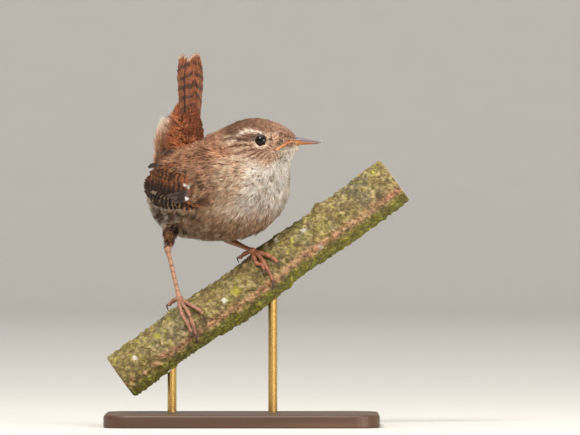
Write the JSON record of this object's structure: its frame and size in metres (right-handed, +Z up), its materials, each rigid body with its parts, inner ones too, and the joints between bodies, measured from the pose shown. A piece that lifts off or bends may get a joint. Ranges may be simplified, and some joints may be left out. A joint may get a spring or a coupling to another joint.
{
  "type": "wren",
  "caption": "Life-size wren with a cocked tail and turned head, gripping a short length of sloping branch on a plain display stand.",
  "frame": {"origin": "middle of the underside of the stand's base", "axes": "+Z up; -Y towards the viewer of the picture's side; +X along the way the head looks, which is also the way the branch rises"},
  "size_m": [0.1067, 0.0584, 0.1301],
  "materials": {
    "back_feathers": "soft warm brown feathers, streaked on the head",
    "breast_feathers": "soft buff feathers, barred on the flanks",
    "wing_feathers": "rufous feathers with fine dark bars",
    "tail_feathers": "rufous feathers with dark wavy bars",
    "upper_bill": "dark grey horn, half gloss",
    "lower_bill": "orange-brown horn, half gloss",
    "eye": "black, wet gloss",
    "leg_skin": "pinkish brown scaled skin",
    "claw": "dark brown horn",
    "bark": "rough bark with lichen and moss",
    "stand_wood": "dark varnished wood",
    "stand_brass": "satin brass"
  },
  "bodies": {
    "root": {"torso": "breast_feathers", "vent": "breast_feathers", "neck": "back_feathers", "head": "back_feathers", "bill_upper": "upper_bill", "bill_lower": "lower_bill", "tail": "tail_feathers", "eye_right": "eye", "wing_right": "wing_feathers", "thigh_right": "breast_feathers", "tarsus_right": "leg_skin", "foot_right": "leg_skin", "claw_right_outer": "claw", "claw_right_middle": "claw", "claw_right_inner": "claw", "claw_right_hind": "claw", "eye_left": "eye", "wing_left": "wing_feathers", "thigh_left": "breast_feathers", "tarsus_left": "leg_skin", "foot_left": "leg_skin", "claw_left_inner": "claw", "claw_left_middle": "claw", "claw_left_outer": "claw", "claw_left_hind": "claw", "perch_branch": "bark", "stand_base": "stand_wood", "stand_rod_1": "stand_brass", "stand_rod_2": "stand_brass"}
  },
  "joints": []
}
